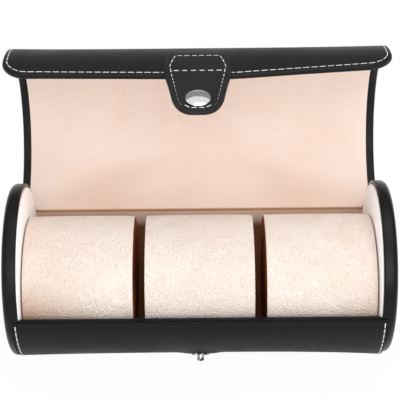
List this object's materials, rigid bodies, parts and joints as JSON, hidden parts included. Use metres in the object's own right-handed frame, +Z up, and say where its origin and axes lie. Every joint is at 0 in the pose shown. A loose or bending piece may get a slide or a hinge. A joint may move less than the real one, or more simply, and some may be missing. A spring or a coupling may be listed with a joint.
{
  "type": "watch travel case",
  "caption": "Cylindrical watch roll case with round end discs, a rolled hinged lid, a press-stud tab and lift-out padded pillows in a soft lined tray",
  "frame": {"origin": "centre of the flat sole, on the table, straight below the axis of the round tray", "axes": "+X along the drum, +Y to the back where the lid hinges, +Z up; the tray's open side and the stud face the front, -Y"},
  "size_m": [0.203, 0.1415, 0.1464],
  "materials": {
    "leather": "satin",
    "lining": "matte",
    "plush": "matte",
    "foam": "matte",
    "board": "matte",
    "panel": "matte",
    "snap": "gloss"
  },
  "bodies": {
    "tray": {"trough_cover": "leather", "trough_board": "board", "trough_lining": "lining", "base_plate": "panel", "end_cover_left": "leather", "end_cover_right": "leather", "end_board_left": "panel", "end_board_right": "panel", "end_lining_left": "lining", "end_lining_right": "lining", "hinge_fold": "leather", "hinge_leaf_tray": "lining", "snap_stud": "snap", "stud_rivet": "snap"},
    "lid": {"lid_cover": "leather", "lid_board": "board", "lid_lining": "lining", "lid_turned_edge": "leather", "hinge_leaf_lid": "lining", "tab_anchor": "leather", "tab_fold": "leather"},
    "tab": {"tab_leather": "leather", "tab_backing": "leather", "snap_cap": "snap", "snap_socket": "snap"},
    "pillow_1": {"cushion_cover_1": "plush", "cushion_core_1": "foam", "cushion_cheeks_1": "board"},
    "pillow_2": {"cushion_cover_2": "plush", "cushion_core_2": "foam", "cushion_cheeks_2": "board"},
    "pillow_3": {"cushion_cover_3": "plush", "cushion_core_3": "foam", "cushion_cheeks_3": "board"}
  },
  "joints": [
    {"name": "lid_hinge", "type": "hinge", "parent": "tray", "child": "lid", "pos_m": [0, 0.04633, 0.04603], "axis": [-1, 0, 0], "range_deg": [-94, 0]},
    {"name": "tab_flex", "type": "hinge", "parent": "lid", "child": "tab", "pos_m": [0, 0.03146, 0.14241], "axis": [-1, 0, 0], "range_deg": [-34.6, 60], "stiffness_Nm_per_rad": 0.03, "springref_deg": 1.43},
    {"name": "pillow_lift_1", "type": "slide", "parent": "tray", "child": "pillow_1", "axis": [0, 0, 1], "range_m": [0, 0.065]},
    {"name": "pillow_lift_2", "type": "slide", "parent": "tray", "child": "pillow_2", "axis": [0, 0, 1], "range_m": [0, 0.065]},
    {"name": "pillow_lift_3", "type": "slide", "parent": "tray", "child": "pillow_3", "axis": [0, 0, 1], "range_m": [0, 0.065]}
  ]
}
